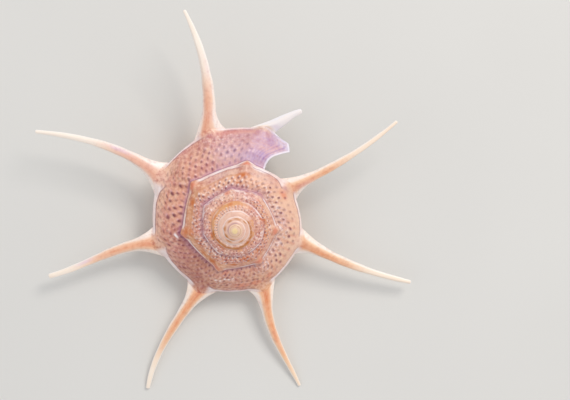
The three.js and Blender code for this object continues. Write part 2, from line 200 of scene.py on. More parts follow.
# Growth wrinkles: how many degrees apart, and how high as a share of the keel radius
FINE_EVERY = 2.3
FINE_RISE = 0.0007
BROAD_EVERY = 9.7
BROAD_RISE = 0.0012
LIP_EVERY = 1.9
LIP_RISE = 0.0016

# Growth lines and knobbed cords of the base: degrees apart, number across, depth in millimetres
BASE_LINE_EVERY = 2.7
BASE_LINE_DEPTH = 0.025
BASE_CORDS = 9.0
BASE_CORD_DEPTH = 0.10
BASE_KNOB_EVERY = 6.4

# Aperture
LIP = -10.0
LIP_ACROSS = (0, 0.14, 0.26, 0.38, 0.5, 0.72, 0.92, 0.96, 1)
LIP_SHIFT = (0, 1, 0.7, -1, -4.2, -9.6, -6.2, 1.5, 4)
LIP_AT_KEEL = LIP_SHIFT[-1]
BASE_LIP_BACK = 11.0
LIP_FADE = 45.0
THROAT_BACK = (0.5, 4, 12, 28, 50, 75, 100)
THROAT_WALL = (0.45, 0.8, 1.1, 1.3, 1.6, 1.9, 2.4)
THROAT_GLAZE = (0.15, 0.25, 0.4, 0.5, 0.7, 0.9, 1.2)

# Mesh density
COLUMNS = 10 * BEADS_PER_TURN
COLUMN_STEP = TURN / COLUMNS
SPINE_RINGS = 28
SPINE_CROWDING = 1.35
TIP_RINGS = 5
THROAT_RINGS = 34
THROAT_CROWDING = 1.8

rng = np.random.default_rng(41)


def smooth(x, low, high):
    t = np.clip((np.asarray(x, float) - low) / (high - low), 0.0, 1.0)
    return t * t * (3.0 - 2.0 * t)


def fade(x, low, high):
    return 1.0 - smooth(x, low, high)


def window(x, a, b, c, d):
    return smooth(x, a, b) * fade(x, c, d)


def dome(x):
    return np.maximum(0.0, 1.0 - np.asarray(x, float) ** 2) ** 2


def ease(x, start, end):
    return np.maximum(0.0, (x - start) / (end - start)) ** 2


def bell(x, middle, width):
    return np.exp(-(((x - middle) / width) ** 2))


def mix(a, b, t):
    return a + (b - a) * t


def keel_corners():
    angles = [NEXT_CORNER] + [spine["at"] for spine in SPINES] + STUMPS
    while angles[-1] < (TURNS + 2) * TURN:
        angles.append(angles[-1] + OLDER_STUMP_STEP)
    return np.array(angles)


CORNERS = keel_corners()


def radius(growth):
    turns = growth / TURN
    early = np.maximum(0.0, turns - EARLY_TURNS_FROM)
    even = KEEL_RADIUS * GROWTH_PER_TURN ** (early - turns) * EARLY_GROWTH_PER_TURN ** -early
    return even * np.interp(growth, SPIRAL_TRIM_AT, SPIRAL_TRIM)


def covered(growth):
    return smooth(growth, *COVERED_FROM)


def rounder(growth):
    return smooth(growth, *ROUNDER_FROM)


def polar(growth, r, z):
    angle = np.radians(NEWEST_SPINE_DEG + growth)
    return np.stack([r * np.cos(angle), r * np.sin(angle), z + 0.0 * r], axis=-1)


def spire_height(size):
    return SPIRE_HEIGHT * (1.0 - size / KEEL_RADIUS) - APEX_ROUND * np.exp(-size / APEX_REACH)


def corner_span(growth):
    index = np.clip(np.searchsorted(CORNERS, growth, side="right"), 1, len(CORNERS) - 1)
    return CORNERS[index - 1], CORNERS[index]


def stump_share(growth):
    low, high = corner_span(growth)
    near = np.minimum(growth - low, high - growth)
    return dome(near / STUMP_WIDTH_DEG) * covered(growth) * fade(growth, *STUMPS_END)


def keel(growth):
    low, high = corner_span(growth)
    half = np.radians((high - low) / 2.0)
    off = np.radians(growth - (low + high) / 2.0)
    chord = np.cos(half) / np.cos(off)
    flatness = mix(mix(OPEN_FLATNESS, COVERED_FLATNESS, covered(growth)), OLD_FLATNESS, rounder(growth))
    size = radius(growth)
    stump = stump_share(growth)
    r = size * (1.0 - flatness * (1.0 - chord) + STUMP_REACH * stump)
    z = spire_height(size) + STUMP_RISE * size * stump
    return r, z


def keel_side(growth):
    """Number of the side of the keel that a point lies on, from the newest spine on."""
    return np.clip(np.searchsorted(CORNERS, growth, side="right") - 2, 0, len(SEAM_AT) - 1)


def seam_place(growth):
    """Where the line inside the keel edge runs: it starts in a hook behind each spine."""
    side = keel_side(growth)
    past = np.maximum(growth - corner_span(growth)[0] - SEAM_START, 0.0)
    hook = np.take(SEAM_HOOK, side) * np.exp(-((past / SEAM_RUN) ** 1.3))
    wobble = SEAM_WOBBLE * (np.sin(growth / 1.7) + np.sin(growth / 2.9))
    return np.take(SEAM_AT, side) - hook + wobble


def crease_line(growth, across, width):
    low, high = corner_span(growth)
    there = smooth(growth - low, 2.5, 5.0) * smooth(high - growth, 3.0, 9.0) * (1.0 - rounder(growth))
    return dome((across - seam_place(growth)) / width) * there


def profile(growth, across):
    arch = 4.0 * across * (1.0 - across) * (0.6 + 0.7 * across)
    groove = np.where(across < SUTURE_AT, across / SUTURE_AT, dome((across - SUTURE_AT) / SUTURE_REACH))
    return BULGE * arch - SUTURE_STEP * groove - CREASE * crease_line(growth, across, CREASE_WIDTH)


BEAD_ROWS = [dict(band, across=across, share=share)
             for band in BEAD_BANDS for across, share in zip(band["across"], band["share"])]
JITTERED = 997
BEAD_JITTER = rng.uniform(-1.0, 1.0, (len(BEAD_ROWS), 4, JITTERED))


def beads(growth, across):
    """Height of the beads, their darker middles (partly their own colour, partly painted shade on the side
    towards the suture), a painted highlight on their side towards the keel, and the pale mesh between them.
    """
    rise = np.zeros_like(growth)
    dark = np.zeros_like(growth)
    sheen = np.zeros_like(growth)
    zone = np.zeros_like(growth)
    crowded = CROWDING * np.minimum(growth - CROWDED_BELOW, 0.0)
    count = (growth - LIP + crowded) * BEADS_PER_TURN / TURN
    for number, row in enumerate(BEAD_ROWS):
        place = count / row["spacing"] + ROW_OFFSET * row["across"]
        index = np.round(place).astype(int)
        shift, aside, size, tone = BEAD_JITTER[number][:, index % JITTERED]
        varied = 1.0 + BEAD_SIZE_VARIES * size
        y = (across - row["across"] - BEAD_ASIDE * aside) / (BEAD_WIDTH * row["size"] * varied)
        x = (place - index - BEAD_SHIFT * shift) / (BEAD_LENGTH * varied) + row["slant"] * y
        q = np.hypot(x, y)
        share = row["share"] * window(growth, *row["ages"])
        strength = np.sqrt(share) * (0.78 + 0.4 * tone)
        rise = np.maximum(rise, share * (1.0 + 0.25 * tone) * np.maximum(0.0, 1.0 - q * q) ** 1.2)
        # painted shade in part: each bead's darker spot is set off towards the suture side, where the bead's
        # inner flank would lie in shade
        dark = np.maximum(dark, strength * np.exp(-((np.hypot(x - 0.12, y + 0.2) / 0.72) ** 3)))
        # painted highlight: a paler spot on each bead's side towards the keel
        sheen = np.maximum(sheen, strength * np.exp(-((np.hypot(x + 0.35, y - 0.5) / 0.5) ** 2)))
        zone = np.maximum(zone, share * dome((across - row["across"]) / 0.2))
    mesh = zone * (1.0 - np.clip(1.3 * dark, 0.0, 1.0))
    return rise, np.clip(dark, 0.0, 1.0), np.clip(sheen, 0.0, 1.0), mesh


def column_angle(column, lip_shift):
    back = column * COLUMN_STEP
    return LIP + back + lip_shift * fade(back, 0, LIP_FADE)


def keel_angle(column):
    return column_angle(column, LIP_AT_KEEL)


def nearest_column(growth):
    return int(np.argmin(np.abs(keel_angle(np.arange(COLUMNS + 1)) - growth)))


def spine_foot(spine):
    first = nearest_column(spine["at"] - spine["foot"][0])
    last = nearest_column(spine["at"] + spine["foot"][1])
    middle = (keel_angle(first) + keel_angle(last)) / 2.0
    return dict(first=first, last=last, middle=middle, half=keel_angle(last) - middle)


FEET = [spine_foot(spine) for spine in SPINES]


def foot_share(growth):
    return np.max([dome((growth - foot["middle"]) / foot["half"]) for foot in FEET], axis=0)


def foot_side(growth):
    """Which side of the nearest spine foot a point is on, from -1 to 1."""
    away = np.array([(growth - foot["middle"]) / foot["half"] for foot in FEET])
    nearest = np.abs(away).argmin(axis=0)
    return np.clip(np.take_along_axis(away, nearest[None], axis=0)[0], -1.0, 1.0), nearest


def lip_shift_above(across):
    return np.interp(across, LIP_ACROSS, LIP_SHIFT)


def lip_shift_below(inward):
    return LIP_AT_KEEL * (1.0 - inward) + BASE_LIP_BACK * 4.0 * inward * (1.0 - inward)


def top_point(growth, across, relief):
    inner_r, inner_z = keel(growth + TURN)
    outer_r, outer_z = keel(growth)
    run = outer_r - inner_r
    fall = inner_z - outer_z
    slope = np.hypot(run, fall)
    lift = radius(growth) * (profile(growth, across) + relief)
    foot = foot_share(growth) * ease(across, FOOT_FROM, 1.0)
    r = inner_r + run * across + (fall / slope) * lift + FOOT_FLARE * foot
    z = outer_z + fall * (1.0 - across) + (run / slope) * lift + FOOT_SWELL * foot
    return polar(growth, r, z)


def base_point(growth, inward):
    edge_r, edge_z = keel(growth)
    foot = foot_share(growth) * ease(inward, FOOT_UNDER, 0.0)
    r = mix(edge_r, CALLUS_RADIUS, inward)
    past = np.maximum(0.0, r / edge_r - BASE_FLAT) / (1.0 - BASE_FLAT)
    ramp = edge_z - BASE_DEPTH * radius(growth) * (1.0 - past ** BASE_POWER)
    point = polar(growth, r + FOOT_FLARE * foot, 0.0)
    level = -CALLUS_DEPTH - point[..., 1] * math.tan(math.radians(TILT_X_DEG))
    clear = smooth(r - CALLUS_RADIUS, 0.0, CALLUS_BLEND * radius(growth))
    point[..., 2] = mix(level, ramp, clear) - FOOT_DROP * foot
    return point


FIELDS = ("growth", "across", "inward", "along", "lateral", "spine", "depth", "dark", "sheen", "mesh",
          "bead", "back")
OUTSIDE = 0
NACRE = 1
IN_THROAT = 2.0


class Skin:
    """Points with their fields, and faces that all look outwards."""

    def __init__(self):
        self.points = []
        self.fields = {name: [] for name in FIELDS}
        self.faces = []
        self.finish = []
        self.count = 0

    def add(self, points, **fields):
        points = np.atleast_2d(points)
        self.points.append(points)
        for name in FIELDS:
            self.fields[name].append(np.broadcast_to(fields.get(name, 0.0), len(points)).astype(float))
        self.count += len(points)
        return list(range(self.count - len(points), self.count))

    def place(self, index):
        return np.concatenate(self.points)[index]

    def face(self, corners, finish):
        kept = list(dict.fromkeys(corners))
        if len(kept) > 2:
            self.faces.append(kept)
            self.finish.append(finish)

    def zip(self, line_a, line_b, finish=OUTSIDE):
        if len(line_a) == len(line_b):
            for i in range(len(line_a) - 1):
                self.face((line_a[i], line_a[i + 1], line_b[i + 1], line_b[i]), finish)
            return
        a = b = 0
        last_a, last_b = len(line_a) - 1, len(line_b) - 1
        while a < last_a or b < last_b:
            if b == last_b or (a < last_a and (a + 1) / last_a <= (b + 1) / last_b):
                self.face((line_a[a], line_a[a + 1], line_b[b]), finish)
                a += 1
            else:
                self.face((line_a[a], line_b[b + 1], line_b[b]), finish)
                b += 1

    def fan(self, line, centre, finish=OUTSIDE):
        for i in range(len(line) - 1):
            self.face((line[i], centre, line[i + 1]), finish)


def whorl_rows(whorl):
    """Places across a whorl, closest beside the suture and at the keel."""
    if whorl == 0:
        return np.concatenate([[0, 0.02, 0.04, 0.06], np.arange(0.08, 0.77, 0.0225),
                               np.linspace(0.78, 1, 15)])
    if whorl == 1:
        return np.concatenate([[0, 0.025, 0.05], np.linspace(0.085, 0.78, 22), np.linspace(0.81, 1, 9)])
    return np.linspace(0.0, 1.0, (20, 13, 9, 7, 5, 4, 4, 4)[whorl - 2])


BASE_ROWS = np.concatenate([[0.0, 0.02, 0.05], np.linspace(0.09, 1.0, 20)])


def growth_relief(growth, across, back):
    """Fine growth wrinkles, stronger and closer beside the lip."""
    skew = growth + 5.0 * across
    fine = np.sin(2.0 * math.pi * skew / FINE_EVERY + 2.0 * np.sin(skew / 7.1) + 9.0 * across)
    broad = np.sin(2.0 * math.pi * skew / BROAD_EVERY + 1.3 * np.sin(skew / 17.0))
    fresh = fade(back, 0, 22)
    striae = np.sin(2.0 * math.pi * back / LIP_EVERY + 1.1 * np.sin(back * 0.9))
    body = (FINE_RISE * fine + BROAD_RISE * broad) * smooth(back, 4, 20) * (1.0 - rounder(growth))
    clear = smooth(across, 0.03, 0.12) * fade(across, 0.96, 1.0)
    return (body + LIP_RISE * striae * fresh) * clear


def add_spire(skin, keel_above):
    columns = []
    for column in range(TURNS * COLUMNS + 1):
        rows = whorl_rows(min(column // COLUMNS, TURNS - 1))[1:-1]
        growth = column_angle(column, lip_shift_above(rows))
        back = np.full_like(rows, column * COLUMN_STEP)
        rise, dark, sheen, mesh = beads(growth, rows)
        relief = BEAD_RISE * rise + growth_relief(growth, rows, back)
        inside = skin.add(top_point(growth, rows, relief), growth=growth, across=rows, dark=dark,
                          sheen=sheen, mesh=mesh, bead=rise, back=back)
        columns.append([keel_above[column + COLUMNS]] + inside + [keel_above[column]])
        if column:
            skin.zip(columns[column - 1], columns[column])
    loop = keel_above[TURNS * COLUMNS:] + columns[-1][1:]
    apex = skin.add([0.0, 0.0, spire_height(0.0)], growth=(TURNS + 1) * TURN, across=0.5, back=TURNS * TURN)
    skin.fan(loop[::-1], apex[0])
    return columns[0]


def add_base(skin, keel_below):
    columns = []
    for column in range(COLUMNS + 1):
        rows = BASE_ROWS[1:]
        growth = column_angle(column, lip_shift_below(rows))
        points = base_point(growth, rows)
        lines = np.sin(2.0 * math.pi * growth / BASE_LINE_EVERY + 2.0 * np.sin(growth / 8.0) + 6.0 * rows)
        waves = np.sin(2.0 * math.pi * rows * BASE_CORDS)
        cords = np.maximum(0.0, waves) * window(rows, 0.5, 0.6, 0.86, 0.92)
        knobs = 0.6 + 0.4 * np.sin(2.0 * math.pi * growth / BASE_KNOB_EVERY)
        level = window(rows, 0.02, 0.1, 0.84, 0.92)
        points[:, 2] -= (BASE_LINE_DEPTH * lines + BASE_CORD_DEPTH * cords * knobs) * level
        line = skin.add(points, growth=growth, across=1.0, inward=rows, back=column * COLUMN_STEP,
                        bead=cords * knobs * level)
        if column == COLUMNS:
            line[-1] = columns[0][-1]
        columns.append([keel_below[column]] + line)
        if column:
            skin.zip(columns[column - 1], columns[column])
    centre = skin.add([0.0, 0.0, -CALLUS_DEPTH], across=1.0, inward=1.0, back=TURN)
    skin.fan([line[-1] for line in columns], centre[0])
    return columns[0], columns[-1]


def bezier(controls, t):
    a, b, c, d = controls
    u = 1.0 - t
    point = u ** 3 * a + 3 * u * u * t * b + 3 * u * t * t * c + t ** 3 * d
    slope = 3 * u * u * (b - a) + 6 * u * t * (c - b) + 3 * t * t * (d - c)
    return point, slope / np.linalg.norm(slope)


def add_spine(skin, number, keel_above, keel_below):
    spine, foot = SPINES[number], FEET[number]
    first, last = foot["first"], foot["last"]
    up = np.array([0.0, 0.0, 1.0])
    root_r, root_z = keel(np.array(spine["at"]))
    start = polar(np.array(spine["at"]), root_r + FOOT_FLARE, root_z + (FOOT_SWELL - FOOT_DROP) / 2.0)
    heading = math.radians(NEWEST_SPINE_DEG + spine["at"] + spine["lean"])
    chord = spine["length"] * np.array([math.cos(heading), math.sin(heading), 0.0])
    chord[2] = spine["rise"]
    aside = np.cross(up, chord)
    aside /= np.linalg.norm(aside)
    controls = [start, start + chord / 3.0 + aside * spine["bow"][0],
                start + chord * 2.0 / 3.0 + aside * spine["bow"][1], start + chord]
    ring = keel_above[first:last + 1] + keel_below[last - 1:first:-1]
    turn = math.pi * (1.0 - 2.0 * np.arange(len(ring)) / len(ring))
    at_foot, at_middle, at_tip = spine["width"]
    phases = rng.uniform(0.0, 2.0 * math.pi, 4)

    def section(share, shrink):
        width = (at_foot * (1 - share) * (1 - 2 * share) + 4 * at_middle * share * (1 - share)
                 + at_tip * share * (2 * share - 1))
        along = share * spine["length"]
        knots = 1.0
        for depth, length, phase in zip(KNOT_DEPTHS, KNOT_LENGTHS, phases):
            knots += depth * math.sin(along / length + phase)
        ribs = 1.0 + RIB_DEPTH * np.sin(RIBS * turn + phases[2] + RIB_TWIST * along)
        half = width / 2.0 * shrink * mix(1.0, knots * ribs, smooth(share, 0.02, 0.15))
        point, tangent = bezier(controls, share)
        side = np.cross(up, tangent)
        side /= np.linalg.norm(side)
        over = np.cross(tangent, side)
        return (point + side * (half * np.cos(turn))[:, None]
                + over * (half * SPINE_FLATNESS * np.sin(turn))[:, None])

    spread = skin.place(ring) - section(0.0, 1.0)
    previous = ring + [ring[0]]
    shares = np.linspace(0.0, 1.0, SPINE_RINGS + 1)[1:] ** SPINE_CROWDING
    for share in shares:
        blend = math.exp(-share * spine["length"] / FILLET)
        line = skin.add(section(share, 1.0) + spread * blend, growth=spine["at"], across=1.0, along=share,
                        lateral=np.cos(turn), spine=number + 1.0, depth=np.sin(turn))
        line.append(line[0])
        skin.zip(line, previous)
        previous = line
    tip, tangent = bezier(controls, 1.0)
    for step in range(1, TIP_RINGS):
        swing = math.radians(90.0 * step / TIP_RINGS)
        line = skin.add(section(1.0, math.cos(swing)) + tangent * TIP_ROUND * math.sin(swing), along=1.0,
                        growth=spine["at"], across=1.0, lateral=np.cos(turn), spine=number + 1.0)
        line.append(line[0])
        skin.zip(line, previous)
        previous = line
    end = skin.add(tip + tangent * TIP_ROUND, growth=spine["at"], across=1.0, along=1.0, spine=number + 1.0)
    skin.fan(previous, end[0])


def add_throat(skin, lip_column, base_lips):
    basal_lip, parietal = base_lips
    previous = lip_column + basal_lip[1:] + parietal[:-1][::-1]
    rows = whorl_rows(0)
    for share in np.linspace(0.0, 1.0, THROAT_RINGS):
        back = mix(THROAT_BACK[0], THROAT_BACK[-1], share ** THROAT_CROWDING)
        column = back / COLUMN_STEP
        above = top_point(column_angle(column, lip_shift_above(rows)), rows, 0.0)
        below = base_point(column_angle(column, lip_shift_below(BASE_ROWS[1:])), BASE_ROWS[1:])
        roof = base_point(LIP + TURN + back + 0.0 * BASE_ROWS[:-1], BASE_ROWS[:-1])[::-1]
        section = np.concatenate([above, below, roof])
        centre = section.mean(axis=0)
        inward = centre - section
        inward /= np.linalg.norm(inward, axis=1)[:, None]
        inset = np.full(len(section), np.interp(back, THROAT_BACK, THROAT_WALL))
        inset[len(above) + len(below):] = np.interp(back, THROAT_BACK, THROAT_GLAZE)
        line = skin.add((section + inward * inset[:, None])[:-1], growth=LIP + back, across=1.0, depth=back,
                        back=0.0, inward=IN_THROAT)
        line.append(line[0])
        skin.zip(line, previous, NACRE)
        previous = line
    middle = skin.add(skin.place(previous).mean(axis=0), depth=THROAT_BACK[-1], across=1.0, inward=IN_THROAT)
    skin.fan(previous, middle[0], NACRE)


def build_skin():
    skin = Skin()
    turns = np.arange((TURNS + 1) * COLUMNS + 1)
    growth = keel_angle(turns)
    keel_above = skin.add(top_point(growth, np.ones_like(growth), 0.0), growth=growth, across=1.0,
                          back=turns * COLUMN_STEP)
    keel_below = keel_above[:COLUMNS + 1]
    for foot in FEET:
        columns = np.arange(foot["first"] + 1, foot["last"])
        growth = keel_angle(columns)
        made = skin.add(base_point(growth, np.zeros_like(growth)), growth=growth, across=1.0, inward=0.01,
                        back=columns * COLUMN_STEP)
        keel_below[foot["first"] + 1:foot["last"]] = made
    lip_column = add_spire(skin, keel_above)
    base_lips = add_base(skin, keel_below)
    for number in range(len(SPINES)):
        add_spine(skin, number, keel_above, keel_below)
    add_throat(skin, lip_column, base_lips)
    return skin


def lay_down(points):
    """Leans the shell as it lies, and sets it in the place and height of the solid."""
    tx, ty = math.radians(TILT_X_DEG), math.radians(TILT_Y_DEG)
    turn_x = np.array([[1, 0, 0], [0, math.cos(tx), -math.sin(tx)], [0, math.sin(tx), math.cos(tx)]])
    turn_y = np.array([[math.cos(ty), 0, math.sin(ty)], [0, 1, 0], [-math.sin(ty), 0, math.cos(ty)]])
    lying = points @ (turn_y @ turn_x).T * MM
    low, high = (np.array(corner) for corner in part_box("shell"))
    shift = (low + high) / 2.0 - (lying.min(axis=0) + lying.max(axis=0)) / 2.0
    shift[2] = high[2] - lying[:, 2].max()
    lying += shift
    lying[:, 2] = np.maximum(lying[:, 2], low[2])
    return lying


def ink(red, green, blue):
    """A colour as it looks on a screen, 0 to 255, in the shader's linear values."""
    shares = np.array([red, green, blue]) / 255.0
    linear = np.where(shares <= 0.04045, shares / 12.92, ((shares + 0.055) / 1.055) ** 2.4)
    return (*linear, 1.0)


def dabs(growth, across, table):
    """Share of the nearest dab of a table at each point, flat in its middle."""
    away = [np.hypot((growth - at) / length, (across - place) / width) for at, place, length, width in table]
    return np.exp(-np.min(away, axis=0) ** 3)


def whorl_zones(f):
    """The upper side of all whorls, then of each from the newest on, fading into the next."""
    g = f["growth"]
    top = 1.0 * (f["inward"] == 0.0) * (f["spine"] == 0.0)
    last = top * fade(g, *WHORL_ENDS[0])
    second = top * window(g, *WHORL_ENDS[0], *WHORL_ENDS[1])
    third = top * window(g, *WHORL_ENDS[1], *WHORL_ENDS[2])
    fourth = top * window(g, *WHORL_ENDS[2], *WHORL_ENDS[3])
    older = top * smooth(g, *WHORL_ENDS[3])
    return top, last, second, third, fourth, older


def last_whorl_masks(f):
    """Broad colours of the last whorl, from the lip back."""
    g, v = f["growth"], f["across"]
    top, last = whorl_zones(f)[:2]
    beside_suture = fade(v, 0.02, 0.15)
    stripes = smooth(np.sin(2.0 * math.pi * (g / 7.5 + 0.5 * v)), 0.1, 0.9)
    made = {}
    # red-brown colour that also paints shade on the lower left of the last whorl, strongest near growth angle
    # 159
    made["rose_and_shade"] = last * ((bell(g, 159, 28) + 0.25 * bell(g, 205, 18)) * (1.0 - 0.3 * v)
                           + 0.9 * bell(g, 124, 16) * fade(v, 0.12, 0.4))
    made["blush"] = last * window(g, 10, 45, 120, 170) * (1.0 - 0.5 * smooth(v, 0.5, 0.8))
    made["cream"] = (last * smooth(g, 215, 260) * mix(1.0, 0.5, smooth(g, 308, 335))
                     + last * window(g, 48, 75, 150, 185) * smooth(v, 0.5, 0.8) * 0.8)
    made["lilac"] = (last * fade(g, 0, 75) * (0.6 + 0.4 * fade(v, 0.35, 0.75))
                     + last * fade(g, 70, 140) * beside_suture
                     + 0.35 * last * bell(g, 0, 16) * smooth(v, 0.3, 0.55))
    made["violet"] = last * (bell(g, 26, 11) * bell(v, 0.36, 0.24)
                             + 0.8 * bell(g, 10, 8) * bell(v, 0.16, 0.14)
                             + bell(g, -2, 9) * bell(v, 0.13, 0.17))
    made["frost"] = (top * fade(f["back"], 3, 15) * smooth(v, 0.62, 0.8)
                     + 0.6 * top * fade(f["back"], 0.5, 6) * window(v, 0.3, 0.5, 0.62, 0.8)
                     + 0.5 * (f["spine"] == 1.0) * smooth(f["along"], 0.0, 0.15))
    made["stripe"] = (last * stripes * window(g, 225, 242, 285, 305)
                      * window(v, 0.1, 0.22, 0.62, 0.8))
    return made


def spire_masks(f):
    """Broad colours of the whorls above the last."""
    g, v = f["growth"], f["across"]
    top, last, second, third, fourth, older = whorl_zones(f)
    ragged = 0.08 * np.sin(g / 9.0) + 0.06 * np.sin(g / 4.1)
    broken = smooth(np.sin(g / 6.1) + 0.8 * np.sin(g / 3.3 + 7.0 * v), -0.6, 0.8)
    outer = fourth * smooth(v, 0.36 + ragged, 0.54 + ragged)
    inner = third * fade(v, 0.14 + ragged, 0.34 + ragged)
    inner = inner * mix(0.2, 1.0, smooth(g, 730, 790)) * mix(1.0, broken, smooth(g, 800, 880))
    inner = inner * (1.0 - 0.6 * smooth(g, 990, 1040))
    outer_half = smooth(v, 0.42, 0.58)
    made = {}
    made["tan"] = second * outer_half
    made["tan_lilac"] = outer_half * (0.8 * second * bell(g, 392, 24)
                                      + 0.6 * (last + second) * bell(g, 350, 16))
    made["cream_inside"] = second * (1.0 - outer_half) * smooth(v, 0.08, 0.22)
    made["rose_inside"] = made["cream_inside"] * window(g, 415, 440, 585, 625)
    made["pink"] = third
    made["gold"] = (outer * mix(1.0, 0.8 * broken, smooth(g, 1180, 1240)) + inner
                    + 0.55 * second * smooth(g, 590, 650) * fade(v, 0.2, 0.36))
    made["amber"] = second * bell(v, 0.54, 0.035)
    made["ember"] = (fourth * fade(g, 1180, 1210) * bell(v, 0.7, 0.2)
                     * smooth(np.sin(g / 7.3) + np.sin(g / 3.9), 0.2, 1.2))
    made["pearl"] = (older + fourth * mix(0.6, 1.0, smooth(g, 1190, 1230)) * fade(v, 0.2, 0.45)
                     + 0.85 * third * fade(g, 740, 830) * smooth(v, 0.1, 0.3)
                     + 0.6 * second * window(g, 595, 615, 690, 735) * smooth(v, 0.4, 0.55)
                     + 0.3 * second * window(g, 525, 545, 595, 615) * smooth(v, 0.4, 0.55))
    made["tongue"] = (dabs(g, v, TONGUES) * top
                      + 0.6 * top * window(g, 2290, 2340, 2660, 2740) * fade(v, 0.2, 0.5))
    made["warm_tip"] = top * smooth(g, 2200, 2420)
    made["nucleus"] = top * smooth(g, 3150, 3350)
    return made


def bead_masks(f):
    """Beads with the net between them, and the single dabs."""
    g, v = f["growth"], f["across"]
    top, last, second, third, fourth, _ = whorl_zones(f)
    made = {}
    made["patch"] = dabs(g, v, PATCHES) * top
    made["knob"] = (dabs(g, v, KNOBS) * top
                    + 0.4 * last * window(g, 0, 10, 27, 36) * bell(v, 0.87, 0.06))
    made["mesh"] = f["mesh"] * top * (1.0 - 0.6 * second * smooth(g, 415, 440))
    # painted highlight on the beads of the last and third whorls
    made["sheen"] = f["sheen"] * (last + 0.6 * third)
    # bead spots: partly their own colour, partly painted shade on their suture side
    made["dark"] = f["dark"] * top * (1.0 - 0.3 * last * fade(g, 20, 70))
    # painted highlight: white glints on the beads of the second and fourth whorls, and the glint dabs
    made["glint"] = np.maximum(f["sheen"] * (second + 1.2 * fourth), dabs(g, v, GLINTS) * top)
    return made


def edge_masks(f, knob):
    """Colours along the sutures, with painted shade in the suture grooves, the edge of the keel and the lip.
    """
    g, v = f["growth"], f["across"]
    top, last, second, third, fourth, older = whorl_zones(f)
    low, high = corner_span(g)
    near = np.minimum(g - low, high - g)
    seam = seam_place(g)
    wide = (0.14 + 0.10 * bell(g, 132, 22) + 0.06 * bell(g, 240, 30) + 0.08 * bell(g, 300, 25)
            + 0.16 * bell(g, 410, 50) + 0.08 * bell(g, 480, 40))
    newer = last * smooth(g, 50, 75) * mix(1.0, 0.3, smooth(g, 195, 235))
    made = {}
    # purple-pink band beside the sutures: partly its own colour, partly painted shadow in the suture groove
    made["mauve_and_shade"] = ((second + newer) * fade(v, 0.25 * wide, wide)
                     + 0.5 * third * fade(v, 0.02, 0.1)
                     + top * window(g, 678, 692, 750, 775) * smooth(v, 0.8, 0.92)
                     + 0.7 * third * window(g, 772, 788, 835, 855) * smooth(v, 0.72, 0.86)
                     + 0.8 * bell(g, 325, 2.5) * bell(v, 0.78, 0.06) * last
                     + 0.8 * last * bell(g, 345, 14) * fade(v, 0.08, 0.3)
                     + 0.5 * last * bell(g, 293, 10) * bell(v, 0.3, 0.15))
    by_lip = fade(f["back"], 5, 15) * window(v, 0.1, 0.25, 0.7, 0.88)
    by_suture = fade(f["back"], 15, 55) * fade(v, 0.25, 0.5)
    lines = np.sin(2.0 * math.pi * f["back"] / 2.3 + 1.6 * np.sin(f["back"] * 0.55) + 2.0 * v)
    made["striae"] = top * np.maximum(0.8 * by_lip, 0.35 * by_suture) * smooth(lines, -0.1, 0.9)
    between_corners = smooth(near, 3.5, 8.0)
    patchy = smooth(np.sin(g / 15.0) + np.sin(g / 6.1 + 1.0), -1.2, 0.8)
    inset = 0.2 * window(g, 680, 700, 755, 780)
    rim = ((1.0 - 0.6 * bell(g, 772, 24)) * third + 0.4 * fourth) * patchy
    rim = rim + older * fade(g, 2100, 2300) * (1.0 - 0.6 * bell(g, 1530, 40))
    rim = rim * window(v + inset, 0.88 - 0.12 * patchy, 0.96 - 0.06 * patchy, 1.02, 1.08)
    made["flange"] = (smooth(v, seam, seam + 0.02) * (last + second * mix(0.35, 1.0, patchy))
                      * (1.0 - knob) * between_corners + rim)
    made["crease"] = crease_line(g, v, 0.024) * top * np.take(SEAM_TONE, keel_side(g))
    # thin purple line at the sutures: partly its own colour, partly painted shade in the suture groove; the
    # terms near the apex are the colour of the early sutures
    made["suture"] = (top * fade(v, 0.015, 0.06) * fade(g, 1380, 1500)
                      + top * fade(v, 0.3, 0.8) * window(g, 2120, 2180, 2280, 2360)
                      + 0.35 * top * fade(v, 0.1, 0.5) * window(g, 2350, 2520, 3150, 3350))
    made["lip"] = top * fade(f["back"], 0.4, 2.6)
    return made


def horn_masks(f):
    """Colours of the spines and of their feet on the keel."""
    g, v, along = f["growth"], f["across"], f["along"]
    last = whorl_zones(f)[1]
    spine = (f["spine"] > 0).astype(float)
    side, foot = foot_side(g)
    number = np.where(spine > 0, f["spine"] - 1.0, foot).astype(int)
    on_foot = last * foot_share(g) * smooth(v, 0.86, 0.99)
    horn = np.maximum(spine, on_foot)
    upper = np.where(spine > 0, smooth(f["depth"], -0.2, 0.3), 1.0)
    lateral = np.where(spine > 0, f["lateral"], side)
    reach = smooth(along, 0.05, 0.3)
    orange = np.take(SPINE_ORANGE, number)
    pale_from = np.take(SPINE_PALE_FROM, number)
    centre = np.take(SPINE_SIDE, number)
    off_centre = np.abs(lateral - 0.4 * centre)
    made = {}
    made["horn"] = horn
    made["pink_spine"] = horn * np.take(SPINE_PINK, number)
    made["streak"] = (horn * orange * bell(lateral, centre, 0.6) * upper
                      * fade(along, 0.4 * pale_from, 1.25 * pale_from))
    made["blotch"] = (horn * orange * fade(along, 0.02, 0.14) * upper
                      * bell(lateral, centre, 0.3))
    made["edge"] = (horn * smooth(off_centre, mix(0.45, 0.6, reach), mix(0.85, 0.95, reach))
                    + horn * (1.0 - upper) * 0.5)
    made["lilac_spine"] = (horn * np.take(SPINE_LILAC, number) * fade(lateral, -0.5, 0.3)
                           * bell(along, np.take(SPINE_LILAC_AT, number), 0.09))
    made["tip"] = horn * np.take(SPINE_PALE, number) * smooth(along, pale_from - 0.2, pale_from + 0.15)
    return made


